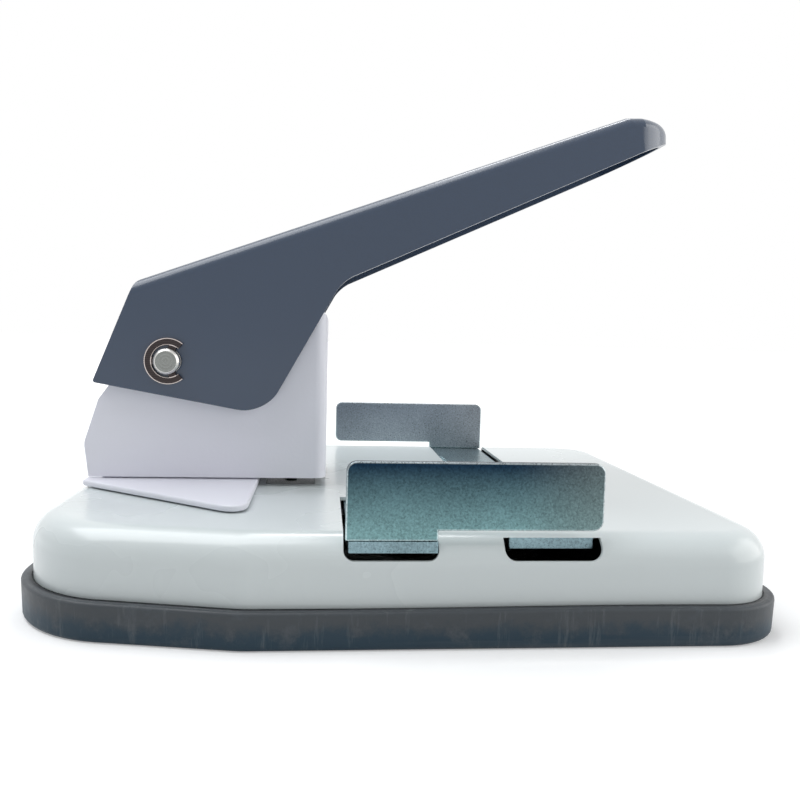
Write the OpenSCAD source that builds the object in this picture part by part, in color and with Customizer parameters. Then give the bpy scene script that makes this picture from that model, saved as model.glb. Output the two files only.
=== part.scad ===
// Desk slot punch for identity cards. Lengths in mm, angles in degrees.
// X runs from the lever's pivot towards the edge where the card goes in, Y across
// the two card guides, Z up. The origin is under the middle of the tray, on the table.

/* [Pressed body] */
// Length of the pressed body, rear to front
body_l = 153; // [140:1:165]
// Width of the pressed body, guide to guide
body_w = 126; // [120:1:140]
// Height of the flat bed above the table
bed_z = 21.3; // [19:0.1:26]
// Thickness of the pressed sheet
sheet_t = 0.8; // [0.6:0.1:1.0]
// Radius of the body's corners, seen from above
corner_r = 13; // [9:0.5:18]
// Radius of the body's rear corners, seen from above
rear_corner_r = 22; // [18:0.5:24]
// Radius of the shoulder between the bed and the sides
shoulder_r = 6; // [4:0.5:8]
// How far each side closes in towards the rear
taper_in = 8.8; // [4:0.1:10]
// Distance behind the middle at which the sides start to close in
taper_x = 30; // [20:0.5:36]

/* [Chip tray] */
// Height of the tray's rim above the table
tray_h = 8; // [6:0.1:10]
// Thickness of the tray's wall at the rim
tray_wall = 2; // [1.6:0.1:3.2]
// Thickness of the tray's floor
tray_floor = 1.6; // [1.2:0.1:2.4]
// Gap between the tray's wall and the body
tray_gap = 0.4; // [0.2:0.05:0.8]
// How much narrower the tray's wall is at the table than at the rim
tray_draft = 0.2; // [0:0.1:1]

/* [Card guides] */
// Distance from the middle of the body to the middle of the guides
guide_x = 13; // [10.5:0.5:15.5]
// Length of a guide plate along the card
guide_l = 50; // [44:1:54]
// Height of a guide plate above its lower edge
guide_h = 13.2; // [9:0.1:18]
// Thickness of a guide plate
guide_t = 1.6; // [1.2:0.1:2]
// Gap between the bed and a guide plate's lower edge
guide_lift = 1.1; // [0.6:0.1:2]
// Width of the leg that carries a guide plate
leg_w = 17.7; // [14:0.1:19]
// Outer faces of the guide plates, fully open
guide_open_w = 125; // [121:0.5:126]
// Narrowest card that the guides close on
card_w = 54; // [50:0.5:60]
// Radius of a guide plate's corners
guide_corner_r = 2; // [0.5:0.1:4]

/* [Rack and pinion] */
// Module of the rack and the pinion
tooth_m = 0.8; // [0.6:0.1:0.9]
// Teeth on the pinion
pinion_teeth = 20; // [18:2:24]
// Width of a rack arm
arm_w = 17.2; // [14:0.1:17.4]
// Thickness of a rack arm
arm_t = 2.3; // [1.8:0.1:2.6]
// Gap between the bed sheet and the rack arms
arm_gap = 0.15; // [0.1:0.05:0.3]
// Play between the teeth, taken off each flank
flank_play = 0.04; // [0.02:0.01:0.08]
// Radius of the stud that the pinion turns on
stud_r = 3; // [2:0.1:4]
// Thickness of the keeper that carries the arms from below
keeper_t = 1.5; // [1:0.1:2]
// Half the keeper's length, along the arms
keeper_half_l = 24; // [18:0.5:25]

/* [Punch head] */
// Width over the head's cover
head_w = 29; // [27:0.5:32]
// Thickness of the head's cover
cover_t = 1.2; // [0.8:0.1:1.6]
// Front face of the head, behind the middle of the body
head_front = 15.6; // [14.5:0.1:17.5]
// Length of the head, from its front face to its heel
head_l = 57.7; // [54:0.1:59]
// Gap between the bed and the head's cover, where the card goes
throat_h = 2.1; // [2:0.1:3]
// Top of the head above the bed
head_h = 43.9; // [40:0.1:50]
// Card edge stop, behind the middle of the body
stop_x = 32; // [30.5:0.1:34.5]
// Width over the two ears along the card stop, to their sharp corners
ear_w = 95; // [70:1:100]
// Thickness of the plate that the ears are part of
ear_t = 1.4; // [1:0.1:2]
// Thickness of the frame's cheeks
cheek_t = 1.5; // [1.2:0.1:2]

/* [Punch and die] */
// Length of the slot that is punched
slot_l = 14; // [12:0.5:16]
// Width of the slot that is punched
slot_w = 3; // [2:0.1:3.5]
// Middle of the slot, in front of the card stop
slot_in = 7.6; // [7:0.1:8]
// Play between the punch and its guide, each side
blade_play = 0.1; // [0.05:0.01:0.2]
// Travel of the punch
punch_travel = 6; // [5:0.1:6.5]
// Height of the block that guides the punch
block_h = 14; // [12:0.5:16]
// Radius of the punch's round stem
stem_r = 3; // [2:0.1:3.5]
// Wire of the return spring
spring_wire = 1; // [0.8:0.1:1.1]
// Turns of the return spring
spring_turns = 4; // [3:1:5]

/* [Lever] */
// Width over the lever
lever_w = 34.2; // [33:0.1:38]
// Thickness of the lever's sheet
lever_t = 1.8; // [1.2:0.1:2]
// Lever's web above the pivot, square to the web
web_h = 20.3; // [19:0.1:24]
// Length of the lever from the pivot to its nose, along the web
lever_l = 138.3; // [120:0.1:145]
// Radius of the nose, seen from above
nose_r = 19; // [18:0.1:24]
// How much the web slopes down towards the nose, from the rest of the web
nose_drop = 17; // [0:1:18]
// Slope of the lever's web at rest
lever_angle = 20.3; // [18:0.1:24]
// Radius along the web's edges
lever_edge_r = 3; // [2.2:0.1:4]
// Pivot behind the middle of the body
pivot_back = 53.1; // [50.5:0.1:55.5]
// Pivot above the bed
pivot_h = 30.3; // [28:0.1:33]
// Radius of the pivot pin
pin_r = 3; // [2.5:0.1:3.5]

/* [Hidden] */

fit = 0.05;      // running fit of a pin in its bore
seat = 0.3;      // gap where one painted sheet sits over another
eps = 0.01;
round_n = 6;     // steps in a rounded corner of an outline

// Heights
under_z = bed_z - sheet_t;
arm_top = under_z - arm_gap;
arm_low = arm_top - arm_t;
body_low = tray_floor + 0.1;
guide_low = bed_z + guide_lift;
throat_top = bed_z + throat_h;
ear_low = bed_z + seat;
ear_top = ear_low + ear_t;
head_top = bed_z + head_h;

// Guides and racks
pitch_r = tooth_m * pinion_teeth / 2;
arm_in = pitch_r - tooth_m;
guide_y = guide_open_w / 2;
guide_travel = guide_y - guide_t - card_w / 2;
leg_in = guide_l / 2 - leg_w;
side_gap = 0.3;
arm_end = 59;
notch_low = arm_low - 1.5;
window_low = arm_low - 1.6;
stud_y = 18;
nut_h = 2.4;
thread_r = 1.5;
keeper_top = arm_low - arm_gap;
keeper_low = keeper_top - keeper_t;
rail_in = arm_in + arm_w + 0.2;
rail_out = rail_in + keeper_t;

// Head
cover_in = head_w / 2 - cover_t;
cover_bend = 3;      // outer radius of the cover's front bends
cheek_front = -head_front - cover_bend - 0.2;
cheek_out = cover_in - 0.1;
cheek_in = cheek_out - cheek_t;
slot_x = -stop_x + slot_in;
pivot = [-pivot_back, 0, bed_z + pivot_h];
block_lift = 3.3;    // guide block above the bed
block_low = bed_z + block_lift;
block_top = block_low + block_h;
block_half = cheek_in - 0.05;
block_front = -head_front - cover_t - 0.1;
block_rear = -stop_x + 0.2;
plate_t = 1.4;
back_t = 3;
back_half = 21;
back_front = guide_x - rail_out - 1.4;
back_rear = -body_l / 2 + shoulder_r + 0.5;
screw_r = 2;
screw_in = 11.5;     // first pair of screws, behind the card stop
screw_pitch = 18;
screw_y = 7;
screw_head_r = 3.8;
rear_x = -head_front - head_l * 0.995;
ear_rear = head_w / 2 + 2.5;
cross_r = 1.2;       // pins across the guide block
cross_dx = 3.4;      // from the slot's middle, on both sides of it
cross_up = 3.6;

// Punch
blade_low = block_low + 0.4;
blade_top = block_top - 0.6;
cap_r = 6.5;
cap_rim = 1.2;       // straight rim of the cap, around the top of the stem
cap_dome = 1.5;
spring_r = 5.4;
spring_touch = 0.1;  // between the spring's ends and their seats
spring_spare = 0.6;  // left between the spring's turns at the end of the travel
spring_low = block_top + plate_t + spring_touch;
spring_top = spring_low + (spring_turns + 1) * spring_wire + punch_travel + spring_spare;
stem_top = spring_top + spring_touch + cap_rim;
die_half_x = 6;
die_half_y = 11;
die_flange = 3;
die_ear = 8;
die_low = under_z - back_t - die_flange;
die_head_r = 2.7;
die_head_h = 1.6;
pusher_w = 18;
pusher_nose = 4;
pusher_gap = 0.15;   // above the punch's cap, at rest

// Lever, in its own frame: u along the web from the pivot, v square to it
clip_t = 0.9;
clip_gap = 0.2;
lever_half = lever_w / 2;
nose_run = 4.2;      // of the straight sides past the bend in the web
nose_neck = 0.05;    // each side of the nose stands this much inside the straight sides
nose_mid = nose_run - sqrt(nose_r * nose_r - lever_half * lever_half);
bend_u = lever_l - (nose_mid + nose_r) * cos(nose_drop);
pin_half = lever_half + clip_gap + clip_t + 2.3;

function unit(v) = v / norm(v);
function turn(a) = a > 180 ? a - 360 : a < -180 ? a + 360 : a;
// One corner of an outline: [x, y, radius] becomes an arc
function corner(p, q, s, r) = r <= 0 ? [q] :
    let (a = unit(p - q), b = unit(s - q), half = acos(a * b) / 2,
         c = q + unit(a + b) * r / sin(half),
         from = q + a * r / tan(half) - c, to = q + b * r / tan(half) - c,
         start = atan2(from.y, from.x), sweep = turn(atan2(to.y, to.x) - start))
    [for (i = [0 : round_n]) c + r * [cos(start + sweep * i / round_n), sin(start + sweep * i / round_n)]];
function flat(p) = [p.x, p.y];
function rounded(pts) = let (n = len(pts), q = [for (p = pts) flat(p)])
    [for (i = [0 : n - 1]) each corner(q[(i + n - 1) % n], q[i], q[(i + 1) % n], pts[i].z)];

// A side outline, x and z, drawn out to a width across Y about the middle
module across(width) {
    rotate([90, 0, 0]) linear_extrude(width, center = true) children();
}

// A slot outline with round ends, long across Y
module obround(long, wide) {
    square([wide, long - wide], center = true);
    for (s = [-1, 1]) translate([0, s * (long - wide) / 2]) circle(d = wide, $fn = 32);
}

// ---- Pressed body ----

// Corner post of the body: grow moves its wall out, drop lowers its top
module body_post(radius, grow, drop, z0) {
    r = radius + grow;
    f = shoulder_r + grow;
    rotate_extrude($fn = 32) polygon(concat(
        [[0, z0], [r, z0]],
        [for (i = [0 : 6]) [r - f + f * cos(15 * i), bed_z - drop - f + f * sin(15 * i)]],
        [[0, bed_z - drop]]));
}

post_y = body_w / 2 - corner_r;
rear_post_x = -body_l / 2 + rear_corner_r;
taper_a = atan(taper_in / (body_l / 2 - taper_x));
rear_post_y = body_w / 2 - rear_corner_r / cos(taper_a)
    - tan(taper_a) * (-taper_x - rear_post_x - corner_r * tan(taper_a / 2));

// Places and radii of the six corner posts
posts = [for (s = [-1, 1]) each [
    [body_l / 2 - corner_r, s * post_y, corner_r],
    [-taper_x, s * post_y, corner_r],
    [rear_post_x, s * rear_post_y, rear_corner_r]
]];

module body_form(grow, drop, z0) {
    hull() for (p = posts) translate(flat(p)) body_post(p.z, grow, drop, z0);
}

// Notch for a guide's leg: over the shoulder and in across the bed
module leg_notch() {
    mid = guide_x - (guide_l / 2 + leg_in) / 2;
    half = leg_w / 2 + side_gap;
    r = 2;
    translate([mid, -body_w / 2 - 5, 0]) rotate([-90, 0, 0])
        linear_extrude(body_w / 2 + 5 - card_w / 2 + 0.4) polygon(rounded([
            [-half, -notch_low, r], [half, -notch_low, r], [half, -bed_z - 5, 0], [-half, -bed_z - 5, 0]]));
}

// Window in the shoulder, where the other guide's rack arm comes out
module arm_window() {
    near = guide_x + arm_in - 1.4;
    far = guide_x + guide_l / 2 + 0.3;
    r = 2.5;
    translate([0, -body_w / 2 - 5, 0]) rotate([-90, 0, 0])
        linear_extrude(5 + shoulder_r + 3) polygon(rounded([
            [near, -window_low, r], [far, -window_low, r], [far, -under_z, 0], [near, -under_z, 0]]));
}

// Turns its children half a turn about the middle of the guides
module opposite() {
    translate([guide_x, 0, 0]) rotate([0, 0, 180]) translate([-guide_x, 0, 0]) children();
}

module base_shell() {
    color("whitesmoke") difference() {
        body_form(0, 0, body_low);
        body_form(-sheet_t, sheet_t, body_low - 1);
        leg_notch();
        opposite() leg_notch();
        arm_window();
        opposite() arm_window();
        translate([slot_x, 0, bed_z]) cube([2 * die_half_x + 0.2, 2 * die_half_y + 0.2, 9], center = true);
        screw_places() translate([0, 0, under_z - 1]) cylinder(r = screw_r + 0.1, h = 9, $fn = 32);
    }
}

module screw_places() {
    for (i = [0, 1], s = [-1, 1])
        translate([-stop_x - screw_in - i * screw_pitch, s * screw_y, 0]) children();
}

module die_screw_places() {
    for (s = [-1, 1]) translate([slot_x, s * (die_half_y + die_ear / 2), 0]) children();
}

// Stiffening plate under the bed, threaded for the frame's screws
module backing_plate() {
    color("silver") difference() {
        translate([0, 0, under_z - back_t]) linear_extrude(back_t) polygon(rounded([
            [back_rear, -back_half, 3], [back_front, -back_half, 3],
            [back_front, back_half, 3], [back_rear, back_half, 3]]));
        translate([slot_x, 0, under_z]) cube([2 * die_half_x + 0.2, 2 * die_half_y + 0.2, 9], center = true);
        screw_places() translate([0, 0, under_z - 9]) cylinder(r = screw_r, h = 10, $fn = 32);
        die_screw_places() translate([0, 0, under_z - 9]) cylinder(r = thread_r, h = 10, $fn = 32);
    }
}

// Hardened die: flush with the bed, with a slot that widens below the cutting edge
module die_insert() {
    high = bed_z - die_low;
    relief = 1.5;
    color("dimgray") translate([slot_x, 0, die_low]) difference() {
        union() {
            translate([-die_half_x, -die_half_y, 0]) cube([2 * die_half_x, 2 * die_half_y, high]);
            translate([-die_half_x, -die_half_y - die_ear, 0])
                cube([2 * die_half_x, 2 * (die_half_y + die_ear), die_flange]);
        }
        translate([0, 0, -1]) linear_extrude(high + 2) obround(slot_l + blade_play, slot_w + blade_play);
        translate([0, 0, -1]) linear_extrude(high - 2) obround(slot_l + relief, slot_w + relief);
        for (s = [-1, 1]) translate([0, s * (die_half_y + die_ear / 2), -1])
            cylinder(r = thread_r + 0.1, h = die_flange + 2, $fn = 32);
    }
}

module die_screws() {
    hex_r = die_head_r * 0.46;
    color("silver") die_screw_places() {
        translate([0, 0, die_low]) cylinder(r = thread_r, h = back_t + die_flange - 0.5, $fn = 32);
        translate([0, 0, die_low - die_head_h]) difference() {
            cylinder(r = die_head_r, h = die_head_h, $fn = 48);
            translate([0, 0, -1]) cylinder(r = hex_r, h = 1 + die_head_h * 0.6, $fn = 6);
        }
    }
}

// ---- Punch head ----

// A corner of the head's side outline: shares of the head's length and height, and a radius
function head_at(along, up, r) = [-head_front - head_l * along, bed_z + head_h * up, r];

// Side outline of the head's cover, from its front foot round to its rear foot
cover_outline = rounded([
    [-head_front, throat_top, 0],
    head_at(0, 1, 3.5),
    head_at(0.19, 1, 6),
    head_at(0.77, 0.886, 6),
    head_at(0.9, 0.549, 0.8),
    head_at(0.941, 0.474, 0.8),
    head_at(1, 0.232, 4),
    [-head_front - head_l * 0.983, throat_top, 0]]);

// Side outline of one of the frame's cheeks, from the throat round to the ear plate
cheek_outline = rounded([
    [-stop_x, ear_top - eps, 0],
    [-stop_x, block_low, 0],
    [cheek_front, block_low, 0],
    [cheek_front, bed_z + head_h * 0.909, 3],
    head_at(0.208, 0.92, 5),
    head_at(0.743, 0.806, 6),
    head_at(0.856, 0.501, 3),
    head_at(0.934, 0.228, 3),
    [-head_front - head_l * 0.934, ear_top - eps, 0]]);

// Frame: two upright cheeks on a plate whose ears reach out on both sides;
// the plate's straight front edge stops the card
module punch_frame() {
    color("white") difference() {
        union() {
            translate([0, 0, ear_low]) linear_extrude(ear_t) polygon(rounded([
                [-stop_x, -ear_w / 2, 4], [-stop_x, ear_w / 2, 4],
                [rear_x, ear_rear, 1.5], [rear_x, -ear_rear, 1.5]]));
            for (s = [-1, 1]) translate([0, s * (cheek_in + cheek_out) / 2, 0])
                across(cheek_t) polygon(cheek_outline);
        }
        translate(pivot) rotate([90, 0, 0]) cylinder(r = pin_r, h = head_w, center = true, $fn = 48);
        pin_places() cylinder(r = cross_r, h = head_w, center = true, $fn = 32);
        screw_places() translate([0, 0, ear_low - 1]) cylinder(r = screw_r + 0.1, h = 9, $fn = 32);
    }
}

// Pan-head screws inside the head, down through the ear plate and the bed
module frame_screws() {
    color("silver") screw_places() {
        translate([0, 0, under_z - back_t])
            cylinder(r = screw_r, h = ear_top + 0.5 - under_z + back_t, $fn = 32);
        translate([0, 0, ear_top]) difference() {
            union() {
                cylinder(r = screw_head_r, h = 1.4, $fn = 48);
                translate([0, 0, 1.4]) cylinder(r1 = screw_head_r, r2 = screw_head_r - 1, h = 0.9, $fn = 48);
            }
            translate([0, 0, 1.2]) cube([0.9, 4.4, 3], center = true);
            translate([0, 0, 1.2]) cube([4.4, 0.9, 3], center = true);
        }
    }
}

// Cover of the head: cheeks and front folded from one sheet, open at the rear and the top
module head_cover() {
    bend = cover_bend;
    beyond = rear_x - head_w;
    color("white") difference() {
        intersection() {
            across(head_w) polygon(cover_outline);
            linear_extrude(head_top + 5) polygon(rounded([
                [-head_front, -head_w / 2, bend], [-head_front, head_w / 2, bend],
                [beyond, head_w / 2, 0], [beyond, -head_w / 2, 0]]));
        }
        linear_extrude(head_top + 6) polygon(rounded([
            [-head_front - cover_t, -cover_in, bend - cover_t],
            [-head_front - cover_t, cover_in, bend - cover_t],
            [beyond - 1, cover_in, 0], [beyond - 1, -cover_in, 0]]));
        translate(pivot) rotate([90, 0, 0]) cylinder(r = pin_r, h = head_w + 2, center = true, $fn = 48);
    }
}

// Cross pins that hold the guide block between the frame's cheeks
module pin_places() {
    for (s = [-1, 1])
        translate([slot_x + s * cross_dx, 0, block_low + cross_up]) rotate([90, 0, 0]) children();
}

module block_pins() {
    color("silver") pin_places() cylinder(r = cross_r, h = 2 * cheek_out, center = true, $fn = 32);
}

// Steel block that guides the punch; its lower face strips the card off the punch
module guide_block() {
    color("gray") difference() {
        translate([block_rear, -block_half, block_low])
            cube([block_front - block_rear, 2 * block_half, block_h]);
        translate([slot_x, 0, block_low - 1]) linear_extrude(block_h + 2)
            obround(slot_l + 2 * blade_play, slot_w + 2 * blade_play);
        translate([slot_x, 0, blade_top - punch_travel - 0.4])
            cylinder(r = stem_r + blade_play, h = block_h, $fn = 48);
        pin_places() cylinder(r = cross_r, h = head_w, center = true, $fn = 32);
    }
}

// Plate over the block: seat of the return spring, and top stop of the punch
module spring_plate() {
    color("silver") difference() {
        translate([block_rear, -block_half, block_top])
            cube([block_front - block_rear, 2 * block_half, plate_t]);
        translate([slot_x, 0, block_top - 1]) cylinder(r = stem_r + blade_play, h = plate_t + 2, $fn = 48);
    }
}

// ---- Pivot ----

clip_y = lever_half + clip_gap;
groove_r = pin_r - 0.5;

module pivot_pin() {
    edge = 0.5;
    color("silver") translate(pivot) rotate([90, 0, 0]) translate([0, 0, -pin_half])
        rotate_extrude($fn = 64) polygon([
            [0, 0], [pin_r - edge, 0], [pin_r, edge],
            [pin_r, pin_half - clip_y - clip_t - fit], [groove_r, pin_half - clip_y - clip_t - fit],
            [groove_r, pin_half - clip_y + fit], [pin_r, pin_half - clip_y + fit],
            [pin_r, pin_half + clip_y - fit], [groove_r, pin_half + clip_y - fit],
            [groove_r, pin_half + clip_y + clip_t + fit], [pin_r, pin_half + clip_y + clip_t + fit],
            [pin_r, 2 * pin_half - edge], [pin_r - edge, 2 * pin_half], [0, 2 * pin_half]]);
}

// Snap rings in the pin's grooves: an open ring with three lobes on the groove
module clip_outline() {
    ring_out = pin_r + 2.5;
    ring_in = pin_r + 0.8;
    mouth = 50;
    intersection() {
        difference() {
            circle(r = ring_out, $fn = 64);
            circle(r = groove_r + 0.02, $fn = 64);
        }
        union() {
            difference() {
                circle(r = ring_out + 1, $fn = 64);
                circle(r = ring_in, $fn = 64);
                polygon([[0, 0], 3 * ring_out * [cos(mouth), sin(mouth)], [4 * ring_out, 0],
                    3 * ring_out * [cos(mouth), -sin(mouth)]]);
            }
            for (a = [72, 180, 288]) rotate(a) translate([0, -0.9]) square([ring_out - 1, 1.8]);
        }
    }
}

module pin_clips() {
    color("dimgray") for (s = [-1, 1])
        translate([pivot.x, s * (clip_y + clip_t / 2), pivot.z]) across(clip_t) clip_outline();
}

// ---- Rack and pinion ----

// Involute flank of the pinion, from its base circle out to its tips
base_r = pitch_r * cos(20);
tip_r = pitch_r + tooth_m;
root_r = pitch_r - 1.25 * tooth_m;
function inv(t) = t - atan(t * PI / 180) ;
function roll_at(r) = sqrt(max(0, pow(r / base_r, 2) - 1)) * 180 / PI;
function half_angle(r) = 90 / pinion_teeth - flank_play / pitch_r * 180 / PI
    + inv(roll_at(pitch_r)) - inv(roll_at(r));
function at(r, a) = r * [cos(a), sin(a)];
function tooth(i) = let (mid = i * 360 / pinion_teeth,
        rs = [for (k = [0 : 4]) base_r + (tip_r - base_r) * k / 4])
    concat([at(root_r, mid - half_angle(base_r))],
        [for (r = rs) at(r, mid - half_angle(r))],
        [for (k = [4 : -1 : 0]) at(rs[k], mid + half_angle(rs[k]))],
        [at(root_r, mid + half_angle(base_r))]);

module pinion() {
    color("gold") translate([guide_x, 0, arm_low]) difference() {
        linear_extrude(arm_t - 0.1) polygon([for (i = [0 : pinion_teeth - 1]) each tooth(i)]);
        translate([0, 0, -1]) cylinder(r = stud_r + fit, h = arm_t + 2, $fn = 48);
    }
}

module pinion_stud() {
    color("silver") translate([guide_x, 0, 0]) {
        translate([0, 0, keeper_low - 1.2]) cylinder(r = stud_r * 1.5, h = 1.2, $fn = 48);
        translate([0, 0, keeper_low]) cylinder(r = stud_r, h = arm_top - keeper_low, $fn = 48);
    }
}

// Rack arm seen from above, teeth along its inner edge; the gap between two teeth
// stands at the pinion's middle when the guides are open
pitch = PI * tooth_m;
teeth_from = -ceil((guide_travel + 6) / pitch);
teeth_to = ceil(8 / pitch);
rack_tip = -arm_in;
rack_root = -pitch_r - 1.25 * tooth_m;
function rack_tooth(i) = let (y = (i + 0.5) * pitch, half = pitch / 4 - flank_play, slope = tan(20))
    [[rack_root, y - half - 1.25 * tooth_m * slope], [rack_tip, y - half + tooth_m * slope],
     [rack_tip, y + half - tooth_m * slope], [rack_root, y + half + 1.25 * tooth_m * slope]];
rack_outline = concat(
    [[-arm_in - arm_w, -guide_y], [rack_tip, -guide_y], [rack_tip, (teeth_from - 0.5) * pitch],
     [rack_root, (teeth_from - 0.5) * pitch]],
    [for (i = [teeth_from : teeth_to]) each rack_tooth(i)],
    [[rack_root, (teeth_to + 1.5) * pitch], [rack_tip, (teeth_to + 1.5) * pitch],
     [rack_tip, arm_end], [-arm_in - arm_w, arm_end]]);

// Tenons of the guide plate: thinner than the plate, so that the arm's end stays closed
tenon_w = 5;
tenon_t = 0.9;
tenon_in = 2.5;
tenon_play = 0.05;
tenon_xs = [-arm_in - tenon_in - tenon_w, -arm_in - arm_w + tenon_in];

module rack() {
    translate([guide_x, 0, arm_low]) difference() {
        linear_extrude(arm_t) polygon(rack_outline);
        for (x = tenon_xs) translate([x - tenon_play, -guide_y + guide_t - tenon_t - tenon_play, -1])
            cube([tenon_w + 2 * tenon_play, tenon_t + 2 * tenon_play, arm_t + 2]);
    }
}

// Guide plate on one leg, with two tenons riveted into the rack arm
module guide() {
    leg_edge = -leg_in;
    translate([guide_x, -guide_y + guide_t / 2, 0]) {
        across(guide_t) polygon(rounded([
            [-guide_l / 2, arm_top, 0], [leg_edge, arm_top, 0], [leg_edge, guide_low, 0],
            [guide_l / 2, guide_low, guide_corner_r], [guide_l / 2, guide_low + guide_h, guide_corner_r],
            [-guide_l / 2, guide_low + guide_h, guide_corner_r]]));
        for (x = tenon_xs) translate([x, guide_t / 2 - tenon_t, arm_low])
            cube([tenon_w, tenon_t, arm_t + eps]);
    }
}

module near_guide() { color("lightslategray") guide(); }
module far_guide() { color("lightslategray") opposite() guide(); }
module near_rack() { color("darkgray") rack(); }
module far_rack() { color("darkgray") opposite() rack(); }

// Keeper under the bed: a channel that carries both arms and the pinion's stud
module rack_keeper() {
    color("silver") translate([guide_x, 0, 0]) difference() {
        across(2 * keeper_half_l) polygon([
            [-rail_out, under_z], [-rail_in, under_z], [-rail_in, keeper_top],
            [rail_in, keeper_top], [rail_in, under_z], [rail_out, under_z],
            [rail_out, keeper_low], [-rail_out, keeper_low]]);
        translate([0, 0, keeper_low - 1]) cylinder(r = stud_r, h = keeper_t + 2, $fn = 48);
        stud_places() translate([0, 0, keeper_low - 1]) cylinder(r = thread_r, h = keeper_t + 2, $fn = 32);
    }
}

// The keeper's studs stand between the two arms
module stud_places() {
    for (s = [-1, 1]) translate([0, s * stud_y, 0]) children();
}

// Shouldered studs under the bed: the shoulder sets the keeper's height
module keeper_studs() {
    low = keeper_low - nut_h * 1.3;
    shoulder = thread_r * 1.9;
    color("silver") translate([guide_x, 0, 0]) stud_places() {
        translate([0, 0, low]) cylinder(r = thread_r, h = keeper_top - low, $fn = 32);
        translate([0, 0, keeper_top]) cylinder(r = shoulder, h = under_z - keeper_top, $fn = 48);
    }
}

module keeper_nuts() {
    across_flats = thread_r * 3.7;
    color("silver") translate([guide_x, 0, 0]) stud_places()
        translate([0, 0, keeper_low - nut_h]) difference() {
            cylinder(d = across_flats / cos(30), h = nut_h, $fn = 6);
            translate([0, 0, -1]) cylinder(r = thread_r, h = nut_h + 2, $fn = 32);
        }
}

// ---- Punch ----

module punch_blade() {
    color("silver") translate([slot_x, 0, 0]) {
        translate([0, 0, blade_low]) linear_extrude(blade_top - blade_low) obround(slot_l, slot_w);
        translate([0, 0, blade_top - eps]) cylinder(r = stem_r, h = stem_top - blade_top + eps, $fn = 48);
    }
}

module blade_cap() {
    color("dimgray") translate([slot_x, 0, 0]) difference() {
        translate([0, 0, stem_top - cap_rim]) rotate_extrude($fn = 64) polygon(concat(
            [[0, 0], [cap_r, 0]],
            [for (i = [0 : 5]) [cap_r * cos(15 * i), cap_rim + cap_dome * sin(15 * i)]],
            [[0, cap_rim + cap_dome]]));
        translate([0, 0, stem_top - 2]) cylinder(r = stem_r, h = 2, $fn = 48);
    }
}

// Compression spring: a round wire swept along a helix, closed at both ends
spring_sides = 8;
spring_rings = 18;
function helix(k) = let (n = spring_turns * spring_rings, a = 360 * k / spring_rings,
        low = spring_low + spring_wire / 2, high = spring_top - spring_wire / 2)
    [spring_r * cos(a), spring_r * sin(a), low + (high - low) * k / n];
function ring(k) = let (c = helix(k), a = 360 * k / spring_rings)
    [for (j = [0 : spring_sides - 1]) let (b = 360 * j / spring_sides)
        c + spring_wire / 2 * [cos(b) * cos(a), cos(b) * sin(a), sin(b)]];

module return_spring() {
    n = spring_turns * spring_rings;
    m = spring_sides;
    color("silver") translate([slot_x, 0, 0]) polyhedron(
        points = [for (k = [0 : n]) each ring(k)],
        faces = concat(
            [[for (j = [0 : m - 1]) j]],
            [for (k = [0 : n - 1], j = [0 : m - 1])
                [k * m + j, (k + 1) * m + j, (k + 1) * m + (j + 1) % m, k * m + (j + 1) % m]],
            [[for (j = [m - 1 : -1 : 0]) n * m + j]]));
}

// ---- Lever ----

// A corner of the lever's side outline: shares of its length and of the web's height, and a radius
function lever_at(along, up, r) = [lever_l * along, web_h * up, r];

// Side outline in the lever's own frame, from the rear foot round by the web and the nose
lever_outline = rounded([
    lever_at(-0.1323, 0.054, 0.6),
    lever_at(-0.0058, 1, 3),
    lever_at(1.0492, 1, 0),
    lever_at(1.0492, 0.6207, 0),
    lever_at(0.3254, 0.2315, 9),
    lever_at(0.1222, -0.9606, 9)]);

// The drawn form: a straight channel with rounded upper edges, and a blunt nose
// that slopes down from it; inset makes the inner skin of the sheet
module lever_form(inset) {
    top = web_h - inset;
    r = lever_edge_r - inset;
    low = -2 * web_h;
    function edge(half) = [for (i = [0 : round_n]) let (a = 90 * i / round_n)
        [half - r + r * cos(a), top - r + r * sin(a)]];
    module channel(from, to, half) {
        right = edge(half - inset);
        left = [for (i = [round_n : -1 : 0]) [-right[i].x, right[i].y]];
        translate([from, 0, 0]) rotate([90, 0, 90]) linear_extrude(to - from)
            polygon(concat([[right[0].x, low]], right, left, [[left[round_n].x, low]]));
    }
    channel(-lever_w, bend_u, lever_half);
    translate([bend_u, 0, web_h]) rotate([0, nose_drop, 0]) translate([0, 0, -web_h]) intersection() {
        channel(0, lever_half, lever_half - nose_neck);
        translate([nose_mid, 0, 0]) rotate([0, 0, -90]) rotate_extrude(angle = 180, $fn = 96)
            polygon(concat([[0, low], [nose_r - inset, low]], edge(nose_r - inset), [[0, top]]));
    }
}

module in_lever_frame() {
    translate(pivot) rotate([0, -lever_angle, 0]) children();
}

module lever() {
    color("slategray") in_lever_frame() difference() {
        intersection() {
            across(lever_w + 2) polygon(lever_outline);
            lever_form(0);
        }
        lever_form(lever_t);
        rotate([90, 0, 0]) cylinder(r = pin_r + fit, h = lever_w + 2, center = true, $fn = 64);
    }
}

// Block under the web that presses on the punch's cap
module pusher_block() {
    dx = slot_x - pivot.x;
    dz = stem_top + cap_dome + pusher_gap - pivot.z;
    u = dx * cos(lever_angle) + dz * sin(lever_angle);
    v = -dx * sin(lever_angle) + dz * cos(lever_angle);
    nose = pusher_nose;
    // middle of the rounded foot, straight above the cap
    cu = u + nose * sin(lever_angle);
    cv = v + nose * cos(lever_angle);
    color("black") in_lever_frame() across(pusher_w) union() {
        translate([cu, cv]) circle(r = nose, $fn = 48);
        translate([cu - nose, cv]) square([2 * nose, web_h - lever_t - cv]);
    }
}

// ---- Chip tray ----

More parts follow.
